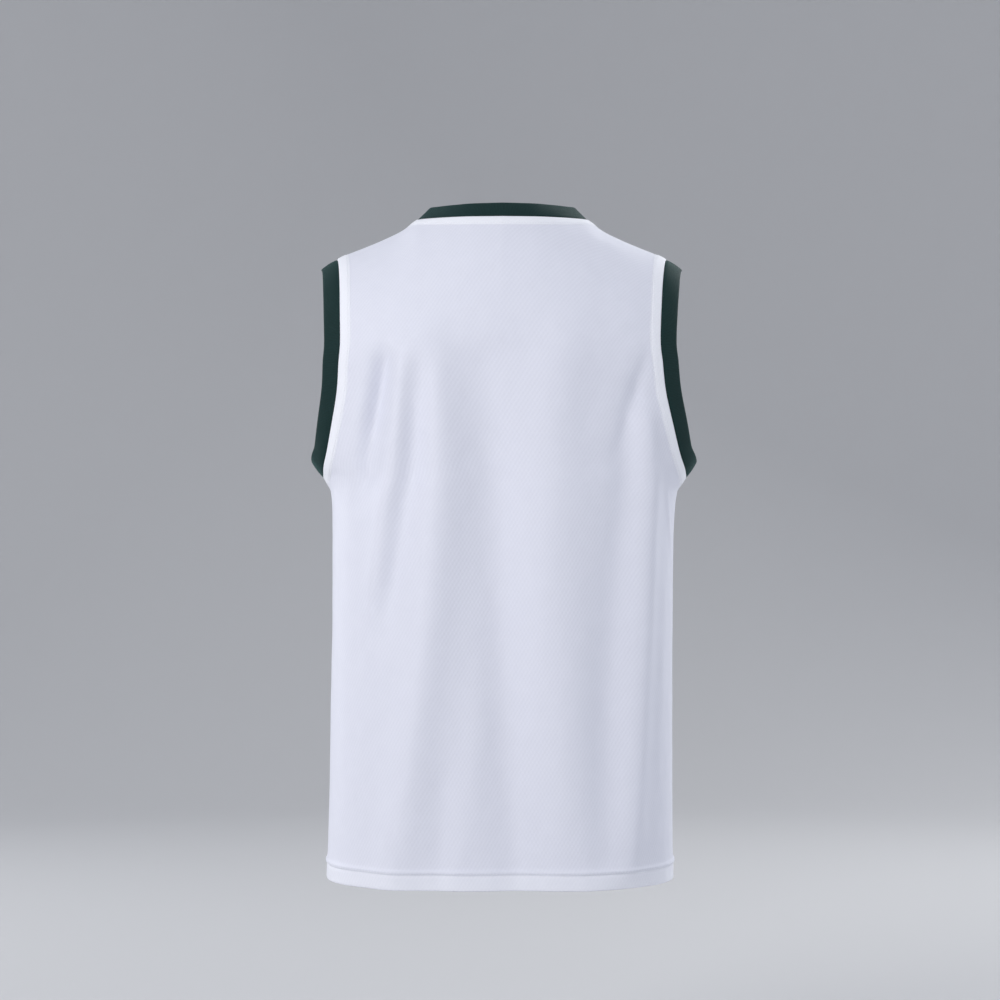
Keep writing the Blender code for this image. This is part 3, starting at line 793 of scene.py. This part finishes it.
def bound_seam(panels, edge, away):
    """The seam round this edge of both panels.

    away says, for x and y, whether the band lies further from the middle of the body than the
    seam (1) or nearer to it (-1).
    """
    grids = [panel.grid[edge] for panel in panels]
    halves = [
        (panel.smooth_points(grid), outward_at(panel.side, grid[:, 0], grid[:, 1]))
        for panel, grid in zip(panels, grids)
    ]
    points, outward = joined_halfway(*halves)
    length = length_along(closed(points))
    outward = unit(evened(outward, length))
    forward = unit(evened(np.roll(points, -1, axis=0) - np.roll(points, 1, axis=0), length))
    across = unit(np.cross(forward, outward))
    if np.sum(across * points * away) < 0:
        across = -across
    return Seam(points, outward, across, length, grids)


def neck_rise(points):
    """How far the neck band bends up at the seam's points, as a share of its width."""
    behind = smoothstep(points[:, 1] / RISE_REACH[BACK])
    ahead = smoothstep(-points[:, 1] / RISE_REACH[FRONT])
    rise = RISE_AT_SHOULDERS * (1 - behind) + RISE_AT_NAPE * behind
    return rise * (1 - ahead)


def beside_seam(seam, distance):
    """Places on a flat strip cut along a seam, at this distance from it."""
    along = seam.length[:-1]
    return np.stack([along, np.full(len(along), distance)], axis=1)


def rib_band(name, seam, rise, material):
    """A folded rib band, swept round its seam, that bends up by this rise at the seam's points."""
    bend = 2 * rise[:, None] * np.array([0, 0, 1])
    ways = [unit(seam.across + (i + 0.5) / BAND_STEPS * bend) for i in range(BAND_STEPS)]
    step = BAND_WIDTH / BAND_STEPS
    starts = [seam.points]
    for way in ways:
        starts.append(starts[-1] + step * way)
    rings, flat = [], []
    round_the_section = length_along(closed(np.array(BAND_SECTION)))[:-1]
    for point, place in zip(BAND_SECTION, round_the_section):
        i = min(max(int(point.across / step), 0), BAND_STEPS - 1)
        outward = unit(flattened(seam.outward, ways[i]))
        rings.append(starts[i] + (point.across - i * step) * ways[i] + point.out * outward)
        flat.append(beside_seam(seam, place))
    faces = grid_faces(len(rings), len(seam.points), closed_columns=True, closed_rows=True)
    return facing_out(add_mesh(name, rings, faces, material, flat))


def facing_out(obj):
    """Turns the faces of a closed mesh outwards."""
    deselect_all()
    obj.select_set(True)
    bpy.context.view_layer.objects.active = obj
    bpy.ops.object.mode_set(mode="EDIT")
    bpy.ops.mesh.select_all(action="SELECT")
    bpy.ops.mesh.normals_make_consistent(inside=False)
    bpy.ops.object.mode_set(mode="OBJECT")
    deselect_all()
    return obj


def inland_loop(panels, seam, distance, out=0.0):
    """A loop on the cloth at this distance inland from a bound seam, with its outward vectors."""
    meeting = len(seam.grids[0]) - 1
    across = (seam.across[: meeting + 1], closed(seam.across)[meeting:][::-1])
    halves = [
        panel.surface(panel.inland(grid, -way, distance), out)
        for panel, grid, way in zip(panels, seam.grids, across)
    ]
    return joined_halfway(*halves)


def stitch_shape():
    """Points and faces of one stitch along +X, a short thread that dips in at both ends."""
    points = []
    for ring in STITCH_RINGS:
        for i in range(STITCH_SIDES):
            angle = 2 * math.pi * i / STITCH_SIDES
            points.append((
                ring.along * STITCH_LENGTH,
                ring.size * THREAD_RADIUS * math.cos(angle),
                THREAD_RADIUS * (ring.lift + ring.size * math.sin(angle)),
            ))
    faces = grid_faces(len(STITCH_RINGS), STITCH_SIDES, closed_columns=True)
    first = list(range(STITCH_SIDES))
    last = list(range(len(points) - STITCH_SIDES, len(points)))
    return np.array(points), faces + [first[::-1], last]


def stitches(name, rows, material):
    """Topstitching along closed rows, each given as (points, outward)."""
    shape, shape_faces = stitch_shape()
    points, faces = [], []
    for loop, outward in rows:
        length = length_along(closed(loop))

        def at(places, values=loop):
            return np.stack([np.interp(places, length, line) for line in closed(values).T], axis=1)

        count = round(length[-1] / STITCH_PITCH)
        centres = (np.arange(count) + 0.5) * length[-1] / count
        forward = unit(at(centres + STITCH_LENGTH / 2) - at(centres - STITCH_LENGTH / 2))
        out = unit(flattened(at(centres, outward), forward))
        across = np.cross(out, forward)
        for place, along_x, along_y, along_z in zip(at(centres), forward, across, out):
            start = len(points) * len(shape)
            points.append(
                place + shape[:, :1] * along_x + shape[:, 1:2] * along_y + shape[:, 2:] * along_z
            )
            faces.extend([start + i for i in face] for face in shape_faces)
    return facing_out(add_mesh(name, points, faces, material))


def needle_rows(middle):
    """Places of the two rows of a topstitch with this middle."""
    return [middle + half * NEEDLE_GAP / 2 for half in (-1, 1)]


def topstitch(name, panels, seam, material):
    """Topstitching that holds the allowance of a bound seam."""
    places = needle_rows(ALLOWANCE - TOPSTITCH_INSET)
    rows = [inland_loop(panels, seam, place, KNIT_WALL / 2) for place in places]
    return stitches(name, rows, material)


def hem_topstitch(name, panels, material):
    """Topstitching that holds the turned hem."""
    turn = np.linspace(-np.pi / 2, np.pi / 2, HEM_SAMPLES)
    rows = []
    for height in needle_rows(HEM_DEPTH - HEM_STITCH_INSET):
        halves = []
        for panel in panels:
            rise = np.full(turn.shape, height - BODY_LENGTH - DOME_LEVEL[panel.side])
            halves.append(panel.surface(np.stack([turn, rise], axis=1), KNIT_WALL / 2))
        rows.append([joined(*lines) for lines in zip(*halves)])
    return stitches(name, rows, material)


def allowance_strip(name, panels, seam, material):
    """The seam allowance that lies turned against the inside of the cloth."""
    loops, flat = [], []
    for distance in ALLOWANCE_LINES:
        loops.append(inland_loop(panels, seam, distance, -(KNIT_WALL + ALLOWANCE_GAP))[0])
        flat.append(beside_seam(seam, distance))
    faces = grid_faces(len(loops), len(seam.points), closed_columns=True)
    return thicken(add_mesh(name, loops, faces, material, flat), ALLOWANCE_WALL)


# ---------------------------------------------------------------- materials

BIRDSEYE_ACROSS = 257  # crests of the knit's slanted rows, a metre
BIRDSEYE_UP = 143
RIBS = 590  # a metre of band
KNIT_FUZZ = 700  # scales of the unevenness
KNIT_CLOUDS = 55
RIB_FUZZ = 420
KNIT_BUMP = 0.00009  # depths of the relief
RIB_BUMP = 0.00025

# Colours, from the darkest tone to the lightest
SINGLE_KNIT = ((0.712, 0.726, 0.822), (0.808, 0.822, 0.914))
DOUBLE_KNIT = ((0.850, 0.864, 0.936), (0.912, 0.926, 0.984))
RIB_KNIT = ((0.004, 0.018, 0.018), (0.009, 0.033, 0.032))


def new_material(name):
    material = bpy.data.materials.new(name)
    material.use_nodes = True
    nodes = material.node_tree.nodes
    return material, nodes, material.node_tree.links, nodes["Principled BSDF"]


def math_node(nodes, links, operation, *values):
    """The output of a math node. Each value is a number or another node's output."""
    node = nodes.new("ShaderNodeMath")
    node.operation = operation
    for socket, value in zip(node.inputs, values):
        if isinstance(value, (int, float)):
            socket.default_value = value
        else:
            links.new(value, socket)
    return node.outputs[0]


def sum_of(nodes, links, *parts):
    """The sum of outputs, each given with its weight."""
    total = 0.0
    for output, weight in parts:
        total = math_node(nodes, links, "MULTIPLY_ADD", output, weight, total)
    return total


def wave(nodes, links, u, v, across, up):
    """A wave over the cloth, from 0 to 1, with this many crests a metre across and up."""
    phase = sum_of(nodes, links, (u, 2 * math.pi * across), (v, 2 * math.pi * up))
    return math_node(nodes, links, "MULTIPLY_ADD", math_node(nodes, links, "SINE", phase), 0.5, 0.5)


def unevenness(nodes, links, uv, scale):
    """Soft noise over the flat cloth, from 0 to 1."""
    node = nodes.new("ShaderNodeTexNoise")
    node.inputs["Scale"].default_value = scale
    node.inputs["Detail"].default_value = 3
    links.new(uv, node.inputs["Vector"])
    return node.outputs["Fac"]


def flat_cloth(nodes, links):
    """The place on the flat cloth, whole and as its two lengths."""
    uv = nodes.new("ShaderNodeUVMap")
    uv.uv_map = "flat cloth"
    split = nodes.new("ShaderNodeSeparateXYZ")
    links.new(uv.outputs["UV"], split.inputs[0])
    return uv.outputs["UV"], split.outputs["X"], split.outputs["Y"]


def colour_between(nodes, links, factor, low, high):
    """A mix of two colours. Each is three numbers or another node's output."""
    mix = nodes.new("ShaderNodeMix")
    mix.data_type = "RGBA"
    links.new(factor, mix.inputs["Factor"])
    for socket, colour in (("A", low), ("B", high)):
        if isinstance(colour, tuple):
            mix.inputs[socket].default_value = (*colour, 1)
        else:
            links.new(colour, mix.inputs[socket])
    return mix.outputs["Result"]


def bump(nodes, links, height, distance):
    node = nodes.new("ShaderNodeBump")
    node.inputs["Strength"].default_value = 1.0
    node.inputs["Distance"].default_value = distance
    links.new(height, node.inputs["Height"])
    return node.outputs["Normal"]


def soften(shader, roughness, specular, sheen, tint):
    """The soft finish of a knit."""
    shader.inputs["Roughness"].default_value = roughness
    shader.inputs["Specular IOR Level"].default_value = specular
    shader.inputs["Sheen Weight"].default_value = sheen
    shader.inputs["Sheen Roughness"].default_value = 0.4
    shader.inputs["Sheen Tint"].default_value = (*tint, 1)


def white_knit():
    """Fine white birdseye knit of polyester, whiter where it lies double."""
    material, nodes, links, shader = new_material("white birdseye knit")
    uv, u, v = flat_cloth(nodes, links)
    rising = wave(nodes, links, u, v, BIRDSEYE_ACROSS, BIRDSEYE_UP)
    falling = wave(nodes, links, u, v, BIRDSEYE_ACROSS, -BIRDSEYE_UP)
    rows = sum_of(nodes, links, (rising, 0.72), (falling, 0.28))
    fuzz = unevenness(nodes, links, uv, KNIT_FUZZ)
    clouds = unevenness(nodes, links, uv, KNIT_CLOUDS)
    tone = sum_of(nodes, links, (rows, 0.32), (fuzz, 0.38), (clouds, 0.30))
    single = colour_between(nodes, links, tone, *SINGLE_KNIT)
    double = colour_between(nodes, links, tone, *DOUBLE_KNIT)
    layers = nodes.new("ShaderNodeAttribute")
    layers.attribute_name = "doubled cloth"
    colour = colour_between(nodes, links, layers.outputs["Fac"], single, double)
    links.new(colour, shader.inputs["Base Color"])
    links.new(bump(nodes, links, rows, KNIT_BUMP), shader.inputs["Normal"])
    soften(shader, roughness=0.62, specular=0.30, sheen=0.20, tint=(0.95, 0.97, 1.0))
    return material


def green_rib():
    """Dark green rib knit, with its ribs square to the edge."""
    material, nodes, links, shader = new_material("dark green rib knit")
    uv, u, v = flat_cloth(nodes, links)
    ribs = wave(nodes, links, u, v, RIBS, 0)
    fuzz = unevenness(nodes, links, uv, RIB_FUZZ)
    tone = sum_of(nodes, links, (ribs, 0.6), (fuzz, 0.4))
    links.new(colour_between(nodes, links, tone, *RIB_KNIT), shader.inputs["Base Color"])
    links.new(bump(nodes, links, tone, RIB_BUMP), shader.inputs["Normal"])
    soften(shader, roughness=0.70, specular=0.18, sheen=0.10, tint=(0.25, 0.75, 0.72))
    return material


def plain(name, colour, roughness, sheen=0.0):
    """A material of one colour, for thread and for the studio."""
    material, _, _, shader = new_material(name)
    shader.inputs["Base Color"].default_value = (*colour, 1)
    shader.inputs["Roughness"].default_value = roughness
    shader.inputs["Sheen Weight"].default_value = sheen
    return material


# ---------------------------------------------------------------- the jersey

knit = white_knit()
rib = green_rib()
thread = plain("white sewing thread", (0.82, 0.83, 0.89), roughness=0.45, sheen=0.2)

back = Panel(BACK)
front = Panel(FRONT)
panels = (back, front)
back_cloth = panel_cloth(back, "back_panel_cloth", knit)
front_cloth = panel_cloth(front, "front_panel_cloth", knit)

# A band lies inside the neck seam, and outside each armhole seam
neck_seam = bound_seam(panels, (-1, back.neck_slice), (-1, -1, 0))
left_seam = bound_seam(panels, (back.armhole_slice, -1), (1, 0, 0))
right_seam = bound_seam(panels, (back.armhole_slice, 0), (1, 0, 0))

neck_band = rib_band("neck_rib_band", neck_seam, neck_rise(neck_seam.points), rib)
no_rise = np.zeros(len(left_seam.points))
left_band = rib_band("left_armhole_rib_band", left_seam, no_rise, rib)
right_band = rib_band("right_armhole_rib_band", right_seam, no_rise, rib)

neck_stitches = topstitch("neck_topstitch", panels, neck_seam, thread)
left_stitches = topstitch("left_armhole_topstitch", panels, left_seam, thread)
right_stitches = topstitch("right_armhole_topstitch", panels, right_seam, thread)
hem_stitches = hem_topstitch("hem_topstitch", panels, thread)

neck_allowance = allowance_strip("neck_seam_allowance", panels, neck_seam, knit)
left_allowance = allowance_strip("left_armhole_seam_allowance", panels, left_seam, knit)
right_allowance = allowance_strip("right_armhole_seam_allowance", panels, right_seam, knit)

Piece = namedtuple("Piece", "obj slot nodes")
PIECES = [
    Piece(back_cloth, "white_knit", ["back_panel"]),
    Piece(front_cloth, "white_knit", ["front_panel"]),
    Piece(neck_band, "dark_green_rib", ["neck_band"]),
    Piece(left_band, "dark_green_rib", ["armhole_band_left"]),
    Piece(right_band, "dark_green_rib", ["armhole_band_right"]),
    Piece(neck_stitches, "white_knit", []),
    Piece(left_stitches, "white_knit", []),
    Piece(right_stitches, "white_knit", []),
    Piece(hem_stitches, "white_knit", []),
    Piece(neck_allowance, "white_knit", []),
    Piece(left_allowance, "white_knit", []),
    Piece(right_allowance, "white_knit", []),
]
for piece in PIECES:
    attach(piece.obj, "root")
    if piece.nodes:
        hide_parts(*piece.nodes)

# ---------------------------------------------------------------- studio

FLOOR_HEIGHT = -0.95
FLOOR_DISC = 1.2  # radius of the middle of the floor, which is one face
STUDIO_RADIUS = 4.2
STUDIO_SIDES = 96
COVE_RADIUS = 1.4
COVE_STEP = 7.5  # degrees
WALL_TOP = 2.6
STUDIO_GREY = (0.56, 0.565, 0.58)
AIR_COLOUR = (0.84, 0.87, 0.94)
AIR_STRENGTH = 0.60

# The lamps, where they aim and how wide and high they are. The back of the jersey is lit from
# the wearer's left.
Lamp = namedtuple("Lamp", "name place aim size power colour")
LAMPS = [
    Lamp("key", (1.83, 2.22, 0.70), (0, 0, -0.32), (1.1, 1.6), 46.3, (1.0, 0.99, 0.98)),
    Lamp("fill", (-1.9, 2.20, 0.30), (0, 0, -0.32), (1.2, 1.6), 7, (0.96, 0.98, 1.0)),
    Lamp("right rim", (-2.6, 0.1, 0.3), (0, 0, -0.32), (1.2, 2.0), 13, (0.95, 0.97, 1.0)),
    Lamp("left rim", (2.3, -1.55, 0.4), (0, 0, -0.32), (1.0, 1.8), 24, (0.97, 0.98, 1.0)),
    Lamp("front key", (-1.8, -2.1, 1.2), (0, 0, -0.3), (1.4, 1.6), 42, (1, 1, 1)),
]


def studio(name):
    """A round floor that curves up into a wall, pale and plain."""
    cove_start = STUDIO_RADIUS - COVE_RADIUS
    profile = [(FLOOR_DISC, FLOOR_HEIGHT), (cove_start, FLOOR_HEIGHT)]
    for angle in np.radians(np.arange(COVE_STEP, 90 + COVE_STEP / 2, COVE_STEP)):
        profile.append((
            cove_start + COVE_RADIUS * math.sin(angle),
            FLOOR_HEIGHT + COVE_RADIUS * (1 - math.cos(angle)),
        ))
    profile.append((STUDIO_RADIUS, WALL_TOP))
    turn = np.linspace(0, 2 * np.pi, STUDIO_SIDES, endpoint=False)
    rings = [
        np.stack([radius * np.cos(turn), radius * np.sin(turn), np.full(STUDIO_SIDES, z)], axis=1)
        for radius, z in profile
    ]
    faces = grid_faces(len(rings), STUDIO_SIDES, closed_columns=True, flip=True)
    disc = list(range(STUDIO_SIDES))
    return add_mesh(name, rings, faces + [disc], plain("pale grey studio", STUDIO_GREY, 0.9))


def area_light(lamp):
    data = bpy.data.lights.new(lamp.name, "AREA")
    data.shape = "RECTANGLE"
    data.size, data.size_y = lamp.size
    data.energy = lamp.power
    data.color = lamp.colour
    obj = bpy.data.objects.new(lamp.name, data)
    bpy.context.scene.collection.objects.link(obj)
    obj.location = lamp.place
    way = Vector(lamp.aim) - Vector(lamp.place)
    obj.rotation_euler = way.to_track_quat("-Z", "Y").to_euler()
    obj.visible_camera = False


studio("studio_floor_and_wall")
for lamp in LAMPS:
    area_light(lamp)

world = bpy.data.worlds.new("studio air")
bpy.context.scene.world = world
world.use_nodes = True
world.node_tree.nodes["Background"].inputs["Color"].default_value = (*AIR_COLOUR, 1)
world.node_tree.nodes["Background"].inputs["Strength"].default_value = AIR_STRENGTH

# ---------------------------------------------------------------- camera

CAMERA_PLACE = (0, 2.75, -0.2927)  # behind the jersey, a little lower than its underarms
CAMERA_TURN = (90, 0, 180)  # degrees, so that it looks level towards the front
SENSOR_WIDTH = 36  # millimetres, as the lens
LENS = 94.28
SHIFT = -0.0025  # which sets the jersey a little to the right in the picture

camera_data = bpy.data.cameras.new("camera")
camera_data.sensor_width = SENSOR_WIDTH
camera_data.lens = LENS
camera_data.shift_x = SHIFT
camera = bpy.data.objects.new("camera", camera_data)
bpy.context.scene.collection.objects.link(camera)
camera.location = CAMERA_PLACE
camera.rotation_euler = [math.radians(angle) for angle in CAMERA_TURN]
bpy.context.scene.camera = camera
bpy.context.scene.view_settings.view_transform = "Standard"
